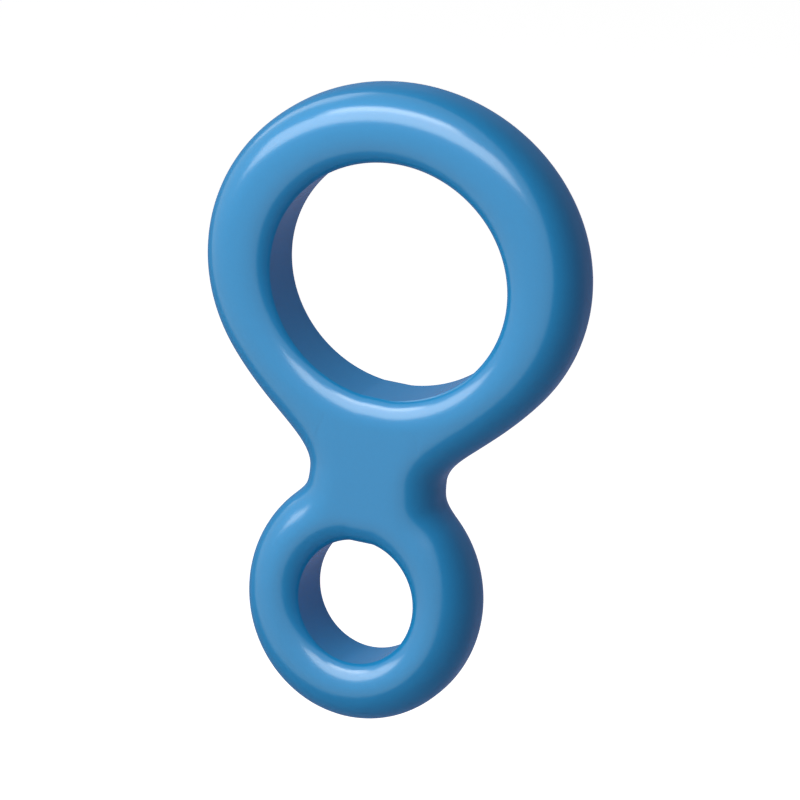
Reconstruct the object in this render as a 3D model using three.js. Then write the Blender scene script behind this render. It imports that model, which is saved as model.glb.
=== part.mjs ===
// Figure eight descender: one forged and anodised aluminium body.
// A large ring takes the rope, a small eye takes a locking carabiner, and a short neck joins them.
// Millimetres. The body stands upright as it hangs in use, with +Z along its length and the large ring on
// top. Its thickness lies along Y, with the front towards -Y. The origin is the centre of the small eye.

import * as THREE from 'three';
import { mergeVertices } from 'three/addons/utils/BufferGeometryUtils.js';

const { clamp, degToRad } = THREE.MathUtils;

// Outline: two slightly oval rings, and a neck between them whose sides curve in to its narrowest place. That
// place lies at this share of the way from the small ring's centre to the large one's.
const overallLength = 140;
const largeRing = { halfWidth: 42.5, halfHeight: 39.9 };
const smallRing = { halfWidth: 25.6, halfHeight: 27 };
const neck = { halfWidth: 14.5, heightShare: 0.36936 };

// Each side of the neck is two curves that run from its narrowest place to the rings. A turn says how far
// round its ring a curve ends, seen from the ring's centre and counted from the neck's narrowest place. It
// ends along the ring's tangent, and a lead is how far it keeps to the direction of an end.
const upperSide = { ringTurn: degToRad(36.1398), neckLead: 6.2, ringLead: 15.3 };
const lowerSide = { ringTurn: degToRad(-15.6627), neckLead: 3.6, ringLead: 4.5 };

// Bores. The small one is centred in its ring, and the large one sits a little low in its own.
const largeBore = { halfWidth: 26.8, halfHeight: 25.9, rise: -1.6 };
const smallBore = { halfWidth: 13, halfHeight: 13.7 };

// Thickness, and the soft edges that keep the rope from chafing.
// An inset is measured in from the edge along the face, and a depth is measured down from the flat face.
// A power of 2 makes a rounding a quarter of an ellipse, and a higher one makes it a little squarer.
const thickness = 19.4;
const outerEdge = { inset: 9.2, depth: 9, power: 2.3 };
const boreEdge = { inset: 6.7, depth: 4.1, power: 2 };

// The rounding of a bore's edge stops short of the wall by this angle, which leaves a fine corner line
// there.
const cornerTurn = degToRad(14);

// How finely the body is faceted.
const ringFacet = 2.8;
const neckFacet = 1.8;
const outerEdgeSteps = 8;
const boreEdgeSteps = 5;

// Where the two roundings of a narrow band would meet, they leave this share of its width between them.
const crestShare = 0.04;

// The rings and bores with their centres, which follow from the overall length.
const smallCentre = new THREE.Vector2(0, 0);
const largeCentre = new THREE.Vector2(0, overallLength - largeRing.halfHeight - smallRing.halfHeight);
const largeOval = { ...largeRing, centre: largeCentre };
const smallOval = { ...smallRing, centre: smallCentre };
const largeHole = { ...largeBore, centre: new THREE.Vector2(0, largeCentre.y + largeBore.rise) };
const smallHole = { ...smallBore, centre: smallCentre };
const neckEdge = new THREE.Vector2(neck.halfWidth, largeCentre.y * neck.heightShare);

// The point of an oval at an angle.
function ovalPoint(oval, angle) {
  const arm = new THREE.Vector2(oval.halfWidth * Math.cos(angle), oval.halfHeight * Math.sin(angle));
  return arm.add(oval.centre);
}

// The direction of an oval at an angle, one millimetre long.
function ovalTangent(oval, angle) {
  return new THREE.Vector2(-oval.halfWidth * Math.sin(angle), oval.halfHeight * Math.cos(angle)).normalize();
}

// Points along a curve about one facet apart, its last one left out.
function pointsAlong(curve, facet) {
  return curve.getPoints(Math.ceil(curve.getLength() / facet)).slice(0, -1);
}

// Points along an arc of an oval, its last one left out.
function ringPoints(oval, start, end) {
  const { x, y } = oval.centre;
  const arc = new THREE.EllipseCurve(x, y, oval.halfWidth, oval.halfHeight, start, end, end < start);
  return pointsAlong(arc, ringFacet);
}

// Where a curve of the neck ends, as an angle round its ring.
function ringAngle(oval, side) {
  return Math.atan2(neckEdge.y - oval.centre.y, neckEdge.x) + side.ringTurn;
}

// One side of the neck, from its narrowest place to a ring. It starts straight along the neck and arrives
// along the ring's tangent.
function neckPoints(oval, side) {
  const start = neckEdge;
  const end = ovalPoint(oval, ringAngle(oval, side));
  const towardsNeck = ovalTangent(oval, ringAngle(oval, side));
  towardsNeck.multiplyScalar(-Math.sign(towardsNeck.x));
  const alongNeck = new THREE.Vector2(0, Math.sign(end.y - start.y));
  const neckHandle = start.clone().addScaledVector(alongNeck, side.neckLead);
  const ringHandle = end.clone().addScaledVector(towardsNeck, side.ringLead);
  return pointsAlong(new THREE.CubicBezierCurve(start, neckHandle, ringHandle, end), neckFacet);
}

// The right side of one half of the outline, from the narrowest place of the neck to the half's far end.
// The ring is drawn in two arcs, so that its widest place is a corner of the outline.
function rightSide(oval, side, farAngle) {
  const arcs = [...ringPoints(oval, ringAngle(oval, side), 0), ...ringPoints(oval, 0, farAngle)];
  return [...neckPoints(oval, side), ...arcs, ovalPoint(oval, farAngle)];
}

const mirror = (point) => new THREE.Vector2(-point.x, point.y);

const upperRight = rightSide(largeOval, upperSide, Math.PI / 2);
const lowerRight = rightSide(smallOval, lowerSide, -Math.PI / 2);
const upperOutline = [...upperRight, ...upperRight.slice(0, -1).map(mirror).reverse()];
const lowerOutline = [...lowerRight.slice(0, -1).map(mirror), ...[...lowerRight].reverse()];
const outline = [...upperOutline.slice(0, -1), ...lowerOutline.slice(0, -1)];

// How far a point lies beyond an oval, along the line from its centre. Inside, this is below zero.
function beyondOval(oval, point) {
  const arm = point.clone().sub(oval.centre);
  const reach = Math.hypot(arm.x / oval.halfWidth, arm.y / oval.halfHeight);
  return arm.length() * (1 - 1 / reach);
}

// How far a point lies from the straight facet between two points.
function besideFacet(point, start, end) {
  const along = end.clone().sub(start);
  const arm = point.clone().sub(start);
  const share = clamp(arm.dot(along) / along.lengthSq(), 0, 1);
  return arm.addScaledVector(along, -share).length();
}

// How far a point lies in from the outline, by the nearest of its facets.
function insideOutline(point) {
  const distances = outline.map((start, index) => {
    const end = outline[(index + 1) % outline.length];
    return besideFacet(point, start, end);
  });
  return Math.min(...distances);
}

// How far the face has sunk at a distance in from a rounded edge.
function edgeDrop(edge, distance) {
  const share = clamp(1 - distance / edge.inset, 0, 1);
  return edge.depth * (1 - (1 - share ** edge.power) ** (1 / edge.power));
}

// A bore's rounding starts at its corner line, part of the way round.
function boreDrop(hole, point) {
  const cornerInset = boreEdge.inset * (1 - Math.cos(cornerTurn));
  return edgeDrop(boreEdge, beyondOval(hole, point) + cornerInset);
}

// The face's height above the middle plane.
function faceHeight(point) {
  const drop = edgeDrop(outerEdge, insideOutline(point));
  return thickness / 2 - drop - boreDrop(largeHole, point) - boreDrop(smallHole, point);
}

// The two halves of the body meet at the narrowest place of the neck, on points that crowd towards its
// edges.
function acrossNeckPoints() {
  const right = [];
  for (let step = 1; step <= outerEdgeSteps; step += 1) {
    const turn = (step / outerEdgeSteps) * (Math.PI / 2);
    const x = neck.halfWidth - outerEdge.inset * (1 - Math.cos(turn));
    right.push(new THREE.Vector2(x, neckEdge.y));
  }
  return [...right, ...right.map(mirror).reverse()];
}

const acrossNeck = acrossNeckPoints();

// Each half is a loop of points that runs round its bore, first along the outline and then across the neck.
const upperHalf = { hole: largeHole, outline: upperOutline, crossing: [...acrossNeck].reverse() };
const lowerHalf = { hole: smallHole, outline: lowerOutline, crossing: acrossNeck };

// Distances along a line from the bore's wall to the edge of the half. They crowd towards both ends, so
// that each rounding turns by even steps.
function stations(width) {
  const squeeze = Math.min(1, (width * (1 - crestShare)) / (boreEdge.inset + outerEdge.inset));
  const distances = [];
  for (let step = 0; step <= boreEdgeSteps; step += 1) {
    const turn = cornerTurn + (step / boreEdgeSteps) * (Math.PI / 2 - cornerTurn);
    distances.push(boreEdge.inset * squeeze * (Math.cos(cornerTurn) - Math.cos(turn)));
  }
  for (let step = outerEdgeSteps; step >= 0; step -= 1) {
    const turn = (step / outerEdgeSteps) * (Math.PI / 2);
    distances.push(width - outerEdge.inset * squeeze * (1 - Math.cos(turn)));
  }
  return distances;
}

// The front face's points on the line from the bore's centre to a point at the edge of the half.
function faceColumn(hole, edgePoint) {
  const arm = edgePoint.clone().sub(hole.centre);
  const width = beyondOval(hole, edgePoint);
  const wallShare = 1 - width / arm.length();
  return stations(width).map((distance) => {
    const share = wallShare + distance / arm.length();
    const point = share < 1 ? hole.centre.clone().addScaledVector(arm, share) : edgePoint;
    return new THREE.Vector3(point.x, -faceHeight(point), point.y);
  });
}

const toBack = (point) => new THREE.Vector3(point.x, -point.y, point.z);

// Adds a four-sided patch as two triangles. Its corners run anticlockwise, seen from outside.
function addPatch(corners, a, b, c, d) {
  corners.push(a, b, c, a, c, d);
}

// One half of the skin: both faces, the bore's wall and the outer wall.
function addHalf(corners, half) {
  const loop = [...half.outline, ...half.crossing];
  const columns = loop.map((edgePoint) => faceColumn(half.hole, edgePoint));
  columns.forEach((column, index) => {
    const next = columns[(index + 1) % columns.length];
    for (let row = 0; row + 1 < column.length; row += 1) {
      const [a, b, c, d] = [column[row], column[row + 1], next[row + 1], next[row]];
      addPatch(corners, a, b, c, d);
      addPatch(corners, toBack(d), toBack(c), toBack(b), toBack(a));
    }
    addPatch(corners, column[0], next[0], toBack(next[0]), toBack(column[0]));
    if (index + 1 < half.outline.length) {
      const [rim, nextRim] = [column.at(-1), next.at(-1)];
      addPatch(corners, rim, toBack(rim), toBack(nextRim), nextRim);
    }
  });
}

// The whole skin, closed by welding the points that its patches share.
function bodyGeometry() {
  const corners = [];
  addHalf(corners, upperHalf);
  addHalf(corners, lowerHalf);
  const geometry = mergeVertices(new THREE.BufferGeometry().setFromPoints(corners));
  geometry.computeVertexNormals();
  return geometry;
}

// Blue anodised aluminium with a satin surface.
const anodisedAluminium = new THREE.MeshStandardMaterial({
  color: 0x3f8fca,
  roughness: 0.35,
  metalness: 0.85,
});

const body = new THREE.Mesh(bodyGeometry(), anodisedAluminium);
body.name = 'descender_body';

const descender = new THREE.Group();
descender.add(body);

export default descender;
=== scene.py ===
# %% [markdown]
# # A figure eight descender
# This lesson dresses one forged aluminium part for its portrait: a figure eight descender, the plate with a
# large ring for the rope and a small eye for a carabiner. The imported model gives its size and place. We
# build its fine skin from a formula, give it a satin anodised finish, and hang it in a small white studio.

# %% Load the frame
import bmesh
import bpy
import math
import numpy as np
from mathutils import Matrix, Vector


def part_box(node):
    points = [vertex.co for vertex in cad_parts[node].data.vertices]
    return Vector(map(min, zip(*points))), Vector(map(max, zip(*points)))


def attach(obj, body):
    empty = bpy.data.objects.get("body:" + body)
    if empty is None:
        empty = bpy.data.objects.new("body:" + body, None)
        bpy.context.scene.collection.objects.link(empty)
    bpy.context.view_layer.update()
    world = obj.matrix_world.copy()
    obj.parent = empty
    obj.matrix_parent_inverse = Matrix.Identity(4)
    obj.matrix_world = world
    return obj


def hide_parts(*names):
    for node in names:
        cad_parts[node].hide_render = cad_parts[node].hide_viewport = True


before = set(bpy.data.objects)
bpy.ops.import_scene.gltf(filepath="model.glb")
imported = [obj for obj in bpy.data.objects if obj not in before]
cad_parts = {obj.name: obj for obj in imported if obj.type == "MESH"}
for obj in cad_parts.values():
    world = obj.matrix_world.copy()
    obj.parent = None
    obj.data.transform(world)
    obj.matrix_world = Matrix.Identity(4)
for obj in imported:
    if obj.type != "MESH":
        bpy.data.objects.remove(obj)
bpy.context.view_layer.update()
low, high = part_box("descender_body")
print("frame holds", sorted(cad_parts), "of size", [round(v * 1000, 1) for v in high - low], "mm")

# %% [markdown]
# ## Sizes
# The real part is one plate of even thickness. The frame's box gives that thickness and where its two ends
# lie. The rest are the maker's dimensions: half the width and height of each oval, and the narrowest place
# of the neck. They are written in millimetres and used in metres, so that one value here is one line on a
# drawing.

# %% Dimensions of the plate
MM = 0.001

half_thickness = (high.y - low.y) / 2
large_ring = {"half": (42.5 * MM, 39.9 * MM)}
small_ring = {"half": (25.6 * MM, 27.0 * MM)}
large_bore = {"half": (26.8 * MM, 25.9 * MM)}
small_bore = {"half": (13.0 * MM, 13.7 * MM)}
large_bore_rise = -1.6 * MM
neck_half_width, neck_height = 14.5 * MM, 27.0 * MM

large_ring["centre"] = np.array([0.0, high.z - large_ring["half"][1]])
small_ring["centre"] = np.array([0.0, low.z + small_ring["half"][1]])
large_bore["centre"] = large_ring["centre"] + np.array([0.0, large_bore_rise])
small_bore["centre"] = small_ring["centre"]
print("ring centres at heights", [round(r["centre"][1] / MM, 1) for r in (small_ring, large_ring)], "mm")

# %% [markdown]
# ## The rounded edges
# A sharp edge would chafe a rope, so the forging is ground and tumbled until its edges are soft. An inset
# says how far a rounding reaches in over the face, a depth how far it falls, and a power how square its
# curve is: 2 makes a quarter of an ellipse. The rounding of a bore stops a little short of the wall, where
# the tool that cleans the bore leaves a fine line. Where the rows of points of two roundings meet on a
# narrow band, they leave a small share of its width between them.

# %% Roundings
outer_edge = {"inset": 9.2 * MM, "depth": 9.0 * MM, "power": 2.3}
bore_edge = {"inset": 6.7 * MM, "depth": 4.1 * MM, "power": 2.0}
corner_turn = math.radians(14)
crest_share = 0.04

# How finely the skin is faceted, along the edges and over each rounding.
facet = 0.7 * MM
outer_steps = 20
bore_steps = 14
print("flat wall left round the outside:", round(2 * (half_thickness - outer_edge["depth"]) / MM, 1), "mm")

# %% [markdown]
# ## The outline
# Where the rings meet, a forging needs a generous fillet, because a sharp notch would crack. Each side of
# the neck is two curves that start at its narrowest place, straight along the neck, and arrive on a ring
# along the ring's own tangent. A plain arc between the rings pinches the neck too much, and these curves let
# the flanks run out long towards the large ring and short towards the small one.

# %% Points on ovals and on curves
def oval_points(oval, angles):
    half_width, half_height = oval["half"]
    return oval["centre"] + np.stack([half_width * np.cos(angles), half_height * np.sin(angles)], -1)


def arc_points(oval, start, end):
    """Points along an arc, its last one left out, about one facet apart."""
    count = math.ceil(abs(end - start) * sum(oval["half"]) / 2 / facet)
    return oval_points(oval, start + (end - start) * np.arange(count) / count)


def curve_points(corners):
    """Points along a smooth curve led by four corner points, its last one left out."""
    a, b, c, d = corners
    count = math.ceil(np.linalg.norm(d - a) / facet)
    t = (np.arange(count) / count)[:, None]
    return a * (1 - t) ** 3 + 3 * b * t * (1 - t) ** 2 + 3 * c * t ** 2 * (1 - t) + d * t ** 3


# %% [markdown]
# Each curve of the neck ends at an angle round its ring, counted from the ring's widest place. A lead is how
# far the curve keeps to the direction that it has at an end: a long lead makes a long, slow bend.

# %% One side of the neck
upper_side = {"ring_angle": math.radians(-36.4), "neck_lead": 6.2 * MM, "ring_lead": 15.3 * MM}
lower_side = {"ring_angle": math.radians(46.1), "neck_lead": 3.6 * MM, "ring_lead": 4.5 * MM}


def neck_curve(ring, side):
    """Points from the narrowest place of the neck to a ring."""
    angle = side["ring_angle"]
    start = np.array([neck_half_width, neck_height])
    end = oval_points(ring, angle)
    tangent = np.array([-ring["half"][0] * math.sin(angle), ring["half"][1] * math.cos(angle)])
    to_neck = -math.copysign(1, tangent[0]) * tangent / np.linalg.norm(tangent)
    along_neck = np.array([0.0, math.copysign(1, end[1] - start[1])])
    leads = [start + along_neck * side["neck_lead"], end + to_neck * side["ring_lead"]]
    return curve_points([start, *leads, end])


# %% The two loops of the outline
def right_side(ring, side, far_angle):
    """The right side of one half, from the narrowest place of the neck to the far end of the ring."""
    arcs = [arc_points(ring, side["ring_angle"], 0), arc_points(ring, 0, far_angle)]
    return np.vstack([neck_curve(ring, side), *arcs, oval_points(ring, far_angle)[None]])


def mirrored(points):
    return (points * np.array([-1.0, 1.0]))[::-1]


upper_right = right_side(large_ring, upper_side, math.pi / 2)
lower_right = right_side(small_ring, lower_side, -math.pi / 2)
upper_outline = np.vstack([upper_right, mirrored(upper_right[:-1])])
lower_outline = np.vstack([mirrored(lower_right[:-1])[::-1], lower_right[::-1]])
outline = np.vstack([upper_outline[:-1], lower_outline[:-1]])
print("the outline has", len(outline), "points and is", round(2 * outline[:, 0].max() / MM, 1), "mm wide")

# %% [markdown]
# ## The face as a height
# Each face is a landscape over the outline: flat in the middle of the neck, and sinking towards every edge
# along its rounding. The outer edge is rounded almost through the plate and each bore's edge more lightly.
# Where two roundings share a narrow band their drops add up, which gives the small ring its soft pillow
# section. A bevel modifier would crease where two bevels meet, so we work the height out from the distances.

# %% Distances to the edges
def beyond(oval, points):
    """How far points lie outside an oval, along lines from its centre. Inside, this is below zero."""
    arm = points - oval["centre"]
    reach = np.hypot(arm[..., 0] / oval["half"][0], arm[..., 1] / oval["half"][1])
    return np.hypot(arm[..., 0], arm[..., 1]) * (1 - 1 / reach)


def beside(points, start, end):
    """How far points lie from the straight facet between two points."""
    along = end - start
    share = np.clip((points - start) @ along / (along @ along), 0, 1)
    return np.linalg.norm(points - start - share[..., None] * along, axis=-1)


def inside_outline(points):
    nearest = np.full(points.shape[:-1], np.inf)
    for start, end in zip(outline, np.roll(outline, -1, axis=0)):
        nearest = np.minimum(nearest, beside(points, start, end))
    return nearest


# %% Height of the face
def edge_drop(edge, distance):
    share = np.clip(1 - distance / edge["inset"], 0, 1)
    return edge["depth"] * (1 - (1 - share ** edge["power"]) ** (1 / edge["power"]))


def face_height(points):
    corner_inset = bore_edge["inset"] * (1 - math.cos(corner_turn))
    drop = edge_drop(outer_edge, inside_outline(points))
    for bore in (large_bore, small_bore):
        drop = drop + edge_drop(bore_edge, beyond(bore, points) + corner_inset)
    return half_thickness - drop


middle_height = face_height(np.array([[0.0, neck_height]]))[0]
print("the face stands", round(middle_height / MM, 2), "mm above the middle plane in the middle of the neck")

# %% [markdown]
# ## The skin
# The skin is laid like a sunburst: lines run out from each bore to the edge, and rows of points cross them,
# crowded where the surface turns fastest. The body is split across the neck into an upper and a lower loop,
# so that every line has one bore to start from. Rows that follow the edge keep the highlights even. The
# neck's flat middle has no points of its own, so each bore runs straight for 5 to 6 mm where it faces it.

# %% Loops of edge points
turns = np.arange(1, outer_steps + 1) / outer_steps * math.pi / 2
from_edge = neck_half_width - outer_edge["inset"] * (1 - np.cos(turns))
half_crossing = np.stack([from_edge, np.full(len(from_edge), neck_height)], -1)
crossing = np.vstack([half_crossing, mirrored(half_crossing)])
upper_half = {"bore": large_bore, "outline": upper_outline, "crossing": crossing[::-1]}
lower_half = {"bore": small_bore, "outline": lower_outline, "crossing": crossing}
counts = [len(half["outline"]) + len(half["crossing"]) for half in (upper_half, lower_half)]
print("edge points in the two loops:", counts)


# %% Rows of points from a bore to the edge
def face_grid(half):
    """The front face's points: one column for each edge point, running out from the bore."""
    edge = np.vstack([half["outline"], half["crossing"]])
    arm = edge - half["bore"]["centre"]
    length = np.hypot(arm[:, 0], arm[:, 1])
    width = beyond(half["bore"], edge)
    room = width * (1 - crest_share) / (bore_edge["inset"] + outer_edge["inset"])
    squeeze = np.minimum(1, room)[:, None]
    inner_turn = np.linspace(corner_turn, math.pi / 2, bore_steps + 1)
    outer_turn = np.linspace(math.pi / 2, 0, outer_steps + 1)
    inner = bore_edge["inset"] * squeeze * (math.cos(corner_turn) - np.cos(inner_turn))
    outer = width[:, None] - outer_edge["inset"] * squeeze * (1 - np.cos(outer_turn))
    share = 1 + (np.hstack([inner, outer]) - width[:, None]) / length[:, None]
    flat = half["bore"]["centre"] + arm[:, None] * share[..., None]
    flat[:, -1] = edge
    return np.stack([flat[..., 0], -face_height(flat), flat[..., 1]], -1)


# %% Patches of the skin
def patches(front, back, outline_count):
    """Four-cornered faces of one half, from the numbers of its front and back points."""
    next_front, next_back = np.roll(front, -1, axis=0), np.roll(back, -1, axis=0)
    front_face = np.stack([front[:, :-1], front[:, 1:], next_front[:, 1:], next_front[:, :-1]], -1)
    back_face = np.stack([next_back[:, :-1], next_back[:, 1:], back[:, 1:], back[:, :-1]], -1)
    bore_wall = np.stack([front[:, 0], next_front[:, 0], next_back[:, 0], back[:, 0]], -1)
    rim_wall = np.stack([front[:, -1], back[:, -1], next_back[:, -1], next_front[:, -1]], -1)
    outer_wall = rim_wall[:outline_count - 1]
    return np.vstack([front_face.reshape(-1, 4), back_face.reshape(-1, 4), bore_wall, outer_wall])


points, faces = [], []
for half in (upper_half, lower_half):
    grid = face_grid(half)
    numbers = np.arange(grid[..., 0].size).reshape(grid.shape[:2]) + sum(len(p) for p in points)
    points += [grid.reshape(-1, 3), (grid * np.array([1, -1, 1])).reshape(-1, 3)]
    faces.append(patches(numbers, numbers + numbers.size, len(half["outline"])))
skin = bpy.data.meshes.new("descender_skin")
skin.from_pydata(np.vstack(points).tolist(), [], np.vstack(faces).tolist())
print("the skin has", len(skin.polygons), "faces before welding")

# %% [markdown]
# The two halves share the points across the neck, and each was made with its own copy. Welding joins them
# into one closed skin. The only true corner is the fine line where a bore's rounding meets its wall, so we
# shade everything smooth and mark as sharp only the edges that turn by more than a set angle.

# %% Weld and shade
weld_distance = 0.001 * MM
sharp_turn = math.radians(25)


def new_object(name, data):
    """An object that stands in the scene."""
    made = bpy.data.objects.new(name, data)
    bpy.context.scene.collection.objects.link(made)
    return made


weld = bmesh.new()
weld.from_mesh(skin)
bmesh.ops.remove_doubles(weld, verts=weld.verts, dist=weld_distance)
weld.to_mesh(skin)
open_edges = sum(1 for e in weld.edges if not e.is_manifold)
weld.free()
skin.polygons.foreach_set("use_smooth", np.ones(len(skin.polygons), bool))
skin.set_sharp_from_angle(angle=sharp_turn)
body = new_object("descender_skin", skin)
print("welded:", len(skin.vertices), "points,", open_edges, "open edges")

# %% [markdown]
# ## The finish
# The forging is tumbled and finely blasted, then hangs in an acid bath as the anode, where its skin turns
# into clear, hard aluminium oxide. The oxide is full of pores, which take a blue dye before they are sealed.
# The eye sees two things: the dyed layer over blasted metal, which spreads every reflection wide, and over
# it the smooth sealed oxide, which adds a white and narrower shine. A single glossy layer can give only one
# of the two, so we use a rough base under a clear coat.
#
# Anodised aluminium starts as metallic 1 with a roughness of about 0.4. This one is duller: its dye lies
# deep in the pores and scatters light like a paint, so the base is half metal and half matt, and rougher. The
# coat has the index of sealed oxide, 1.65. The base's own specular level is 0, because the shine is the
# coat's.

# %% Colours and nodes
def linear(hex_colour):
    """An sRGB hex value as linear red, green, blue and alpha."""
    channels = [int(hex_colour[i:i + 2], 16) / 255 for i in (1, 3, 5)]
    return [c / 12.92 if c <= 0.04045 else ((c + 0.055) / 1.055) ** 2.4 for c in channels] + [1.0]


def add_node(tree, kind, settings=(), in_order=(), **links):
    """Adds a node with its settings, and links its inputs in order or by name, with _ for a space."""
    node = tree.nodes.new(kind)
    for name, value in dict(settings).items():
        if name in node.inputs:
            node.inputs[name].default_value = value
        else:
            setattr(node, name, value)
    for socket, source in zip(node.inputs, in_order):
        tree.links.new(source, socket)
    for name, source in links.items():
        tree.links.new(source, node.inputs[name.replace("_", " ")])
    return node


def new_tree(owner):
    """The emptied node tree of a material or a world."""
    owner.use_nodes = True
    owner.node_tree.nodes.clear()
    return owner.node_tree


# %% [markdown]
# Two grains are laid over the metal. The blasting grain is about a tenth of a millimetre on the real part,
# too fine to show at this size, so it is drawn at 0.6 mm. Tumbling leaves a larger, very shallow unevenness,
# about a centimetre across, which keeps a long highlight from looking ruled. Both only nudge the roughness
# and the slope of the surface, since a finish like this looks even from an arm's length.

# %% Anodised aluminium
blast_grain = 0.6 * MM
tumbled_wave = 11 * MM
grain_height = 0.006 * MM
wave_height = 0.05 * MM

anodised = bpy.data.materials.new("anodised_aluminium")
tree = new_tree(anodised)
place = add_node(tree, "ShaderNodeTexCoord").outputs["Object"]
grain = add_node(tree, "ShaderNodeTexNoise",
                 {"Scale": 1 / blast_grain, "Detail": 2.0, "Roughness": 0.6}, Vector=place)
wave = add_node(tree, "ShaderNodeTexNoise", {"Scale": 1 / tumbled_wave, "Detail": 1.0}, Vector=place)
roughness = add_node(tree, "ShaderNodeMapRange", {"To Min": 0.72, "To Max": 0.84},
                     Value=grain.outputs["Fac"])
waved = add_node(tree, "ShaderNodeBump", {"Strength": 1.0, "Distance": wave_height},
                 Height=wave.outputs["Fac"])
grained = add_node(tree, "ShaderNodeBump", {"Strength": 1.0, "Distance": grain_height},
                   Height=grain.outputs["Fac"], Normal=waved.outputs["Normal"])
finish = {
    "Base Color": linear("#1E8ABF"),
    "Metallic": 0.5,
    "Specular IOR Level": 0.0,
    "Coat Weight": 1.0,
    "Coat Roughness": 0.2,
    "Coat IOR": 1.65,
}
metal = add_node(tree, "ShaderNodeBsdfPrincipled", finish, Roughness=roughness.outputs["Result"],
                 Normal=grained.outputs["Normal"], Coat_Normal=waved.outputs["Normal"])
add_node(tree, "ShaderNodeOutputMaterial", Surface=metal.outputs["BSDF"])
skin.materials.append(anodised)
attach(body, "root")
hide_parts("descender_body")
print("the anodised metal has", len(tree.nodes), "nodes")

# %% [markdown]
# ## Camera
# The part is seen from its right and a little above, and from far away: its parallel edges hardly converge.
# So the camera stands nearly three metres off with a very long lens, and rolls a little.

# %% Directions and places
def around(azimuth, elevation):
    """The direction of a view, in degrees: azimuth 0 is in front of the part and 90 at its right."""
    turn, lift = math.radians(azimuth), math.radians(elevation)
    return Vector((math.sin(turn) * math.cos(lift), -math.cos(turn) * math.cos(lift), math.sin(lift)))


def placed(place, x_axis, y_axis, z_axis):
    """The matrix that puts an object at a place and turns its own three axes to these directions."""
    return Matrix.Translation(place) @ Matrix((x_axis, y_axis, z_axis)).transposed().to_4x4()


# %% Camera
view_azimuth, view_elevation, view_roll = 18.88, 17.385, math.radians(5.9)
camera_distance = 2.8
aim = Vector((3.1 * MM, 0.0, 44.18 * MM))

back = around(view_azimuth, view_elevation)
level = around(view_azimuth + 90, 0)
upright = back.cross(level)
right = level * math.cos(view_roll) + upright * math.sin(view_roll)
up = upright * math.cos(view_roll) - level * math.sin(view_roll)
lens = bpy.data.cameras.new("camera")
lens.sensor_width = 36.0
lens.lens = 593.6
lens.clip_end = 50.0
camera = new_object("camera", lens)
camera.matrix_world = placed(aim + back * camera_distance, right, up, back)
bpy.context.scene.camera = camera
print("the camera stands at", [round(v, 2) for v in camera.location], "m")

# %% [markdown]
# ## The set
# The part hangs in the air, as it does on a harness, far above a floor of white paper. Paper and room are
# plain white to the eye and in reflections, which Light Path can tell from the light that they shed: they
# shed little, so that the softboxes do the modelling. To the eye the matt paper glows a little less than
# white and the lamps' light makes up the rest, so that it can hold a shadow. This part hangs so high and its
# lamps are so wide that the shadow is too soft to see.

# %% What meets a ray
def seen_directly(tree):
    """1 for the eye, for a reflection and for a look through glass, and 0 for the light that is shed."""
    path = add_node(tree, "ShaderNodeLightPath")
    share = path.outputs["Is Camera Ray"]
    for kind in ("Is Glossy Ray", "Is Transmission Ray"):
        either = (share, path.outputs[kind])
        share = add_node(tree, "ShaderNodeMath", {"operation": "MAXIMUM"}, either).outputs["Value"]
    return share


def mixed(tree, share, first, second):
    """The first shader where the share is 0 and the second where it is 1."""
    return add_node(tree, "ShaderNodeMixShader", in_order=(share, first, second)).outputs["Shader"]


# %% Floor
floor_drop = 300 * MM
floor_half = 3.0

floor_height = low.z - floor_drop
corners = [(x * floor_half, y * floor_half, floor_height) for x, y in ((-1, -1), (1, -1), (1, 1), (-1, 1))]
ground = bpy.data.meshes.new("floor")
ground.from_pydata(corners, [], [(0, 1, 2, 3)])
floor = new_object("floor", ground)
print("the floor lies", round(floor_drop, 2), "m below the part")

# %% White paper
paper_glow = 0.9

paper = bpy.data.materials.new("white_paper")
tree = new_tree(paper)
matt = add_node(tree, "ShaderNodeBsdfDiffuse", {"Color": linear("#E6E6E6")}).outputs["BSDF"]
white = add_node(tree, "ShaderNodeEmission", {"Color": linear("#FFFFFF"), "Strength": 1.0})
glow = add_node(tree, "ShaderNodeEmission", {"Color": linear("#FFFFFF"), "Strength": paper_glow})
lit = add_node(tree, "ShaderNodeAddShader", in_order=(matt, glow.outputs["Emission"]))
reflected = mixed(tree, seen_directly(tree), matt, white.outputs["Emission"])
for_the_eye = add_node(tree, "ShaderNodeLightPath").outputs["Is Camera Ray"]
shown = mixed(tree, for_the_eye, reflected, lit.outputs["Shader"])
add_node(tree, "ShaderNodeOutputMaterial", Surface=shown)
ground.materials.append(paper)
print("the paper has", len(tree.nodes), "nodes")

# %% White room
shed_light = 0.05

room = bpy.data.worlds.new("white_room")
bpy.context.scene.world = room
tree = new_tree(room)
dim = add_node(tree, "ShaderNodeBackground", {"Color": linear("#FFFFFF"), "Strength": shed_light})
white = add_node(tree, "ShaderNodeBackground", {"Color": linear("#FFFFFF"), "Strength": 1.0})
shown = mixed(tree, seen_directly(tree), dim.outputs["Background"], white.outputs["Background"])
add_node(tree, "ShaderNodeOutputWorld", Surface=shown)
bpy.context.scene.view_settings.view_transform = "Standard"
print("the room looks white and sheds", shed_light, "of that")

# %% [markdown]
# ## The tent
# Glossy metal has little colour of its own: it shows the room. In a room that is white all round, this part
# would look flat and chalky. So a photographer hangs grey-blue cloth about it and leaves one side open to
# the white room, and the cloth gives the far side and the bores their deep blue. Woven cloth has no gloss, so
# one even tone stands for it. Ours is a piece of a sphere, open towards the lamps. Only reflections meet it:
# the eye and the lamps' own light pass through.

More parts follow.
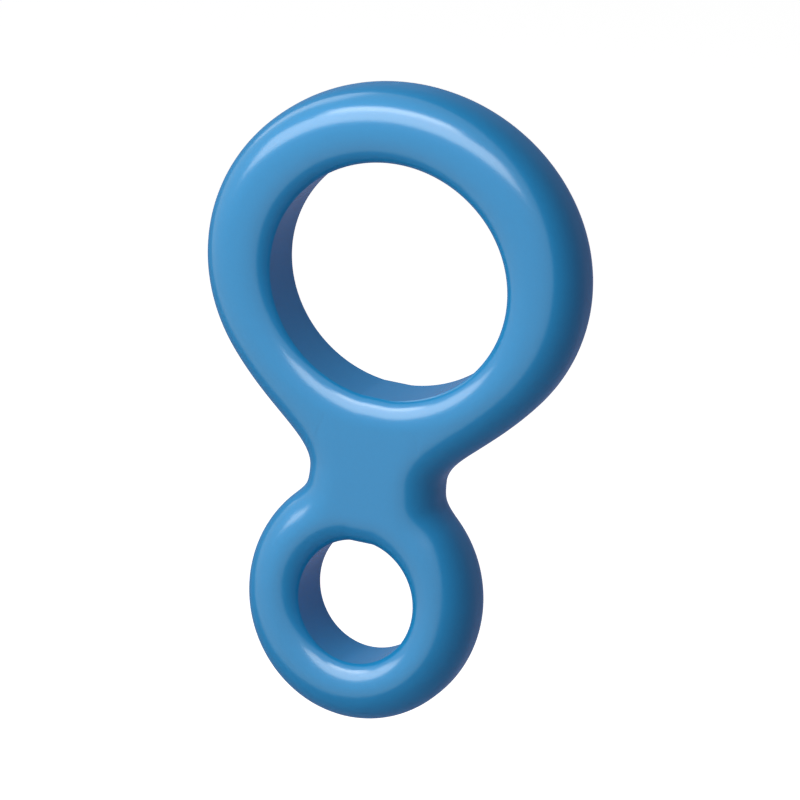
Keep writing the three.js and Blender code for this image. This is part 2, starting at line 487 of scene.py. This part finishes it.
# %% Directions as the camera sees them
def aside(azimuth, elevation):
    """The direction that lies, from the part, these degrees to the right of the camera and above it."""
    turn, lift = math.radians(azimuth), math.radians(elevation)
    return (right * math.sin(turn) + back * math.cos(turn)) * math.cos(lift) + up * math.sin(lift)


# %% Shape of the tent
tent_opening = aside(-49, 18)
tent_radius = 330 * MM
open_angle = math.radians(71)
rings, spokes = 24, 64

first_side = tent_opening.orthogonal()
second_side = tent_opening.cross(first_side)
tent_points, tent_faces = [], []
for ring in range(rings + 1):
    angle = open_angle + (math.pi - open_angle) * ring / rings
    for spoke in range(spokes):
        turn = 2 * math.pi * spoke / spokes
        outward = (first_side * math.cos(turn) + second_side * math.sin(turn)) * math.sin(angle)
        tent_points.append(aim + (outward + tent_opening * math.cos(angle)) * tent_radius)
for ring in range(rings):
    for spoke in range(spokes):
        here, beside_it = ring * spokes + spoke, ring * spokes + (spoke + 1) % spokes
        tent_faces.append((here, beside_it, beside_it + spokes, here + spokes))
opening_width = round(2 * math.degrees(open_angle))
print("the tent has", len(tent_faces), "faces and opens over", opening_width, "degrees")

# %% Cloth of the tent
cloth = bpy.data.meshes.new("tent")
cloth.from_pydata(tent_points, [], tent_faces)
tent = new_object("tent", cloth)
tent.visible_camera = tent.visible_diffuse = tent.visible_shadow = False
tent.visible_transmission = tent.visible_volume_scatter = False
cloth_tone = linear("#737B9C")
dark_cloth = bpy.data.materials.new("dark_cloth")
tree = new_tree(dark_cloth)
glow = add_node(tree, "ShaderNodeEmission", {"Color": cloth_tone, "Strength": 1.0})
add_node(tree, "ShaderNodeOutputMaterial", Surface=glow.outputs["Emission"])
cloth.materials.append(dark_cloth)
print("the cloth reflects as", [round(channel, 2) for channel in cloth_tone[:3]])

# %% [markdown]
# ## Lamps
# The key is a wide softbox, up to the left of the camera. Its reflection runs round each ring as one long
# band, and a narrow strip light over it draws that band's crisp upper edge. A third softbox stands behind
# the part, up to the left, and models its back, which the front view hardly shows. Each is given by what the
# part sees: a direction, two half angles in degrees and a brightness, where the white room is 1. The size
# and the watts follow: an area lamp of 4 watts a square metre looks as bright as that room.

# %% Softboxes
lamp_distance = 1.0
watts_of_white = 4.0


def softbox(name, direction, half_angles, brightness):
    """A lamp that faces the part and fills these half angles, as the part sees it."""
    lamp = bpy.data.lights.new(name, "AREA")
    lamp.shape = "RECTANGLE"
    lamp.size, lamp.size_y = (2 * lamp_distance * math.tan(math.radians(a)) for a in half_angles)
    lamp.energy = brightness * watts_of_white * lamp.size * lamp.size_y
    box = new_object(name, lamp)
    across = up.cross(direction).normalized()
    box.matrix_world = placed(aim + direction * lamp_distance, across, direction.cross(across), direction)
    print(name, "is", round(lamp.size, 2), "by", round(lamp.size_y, 2), "m and", round(lamp.energy, 1), "W")


softbox("key", aside(-37.5, 20), half_angles=(42, 14), brightness=2.95)
softbox("strip", aside(-36, 39), half_angles=(22, 6), brightness=5.4)
softbox("rear", around(228, 32), half_angles=(24, 20), brightness=1.1)
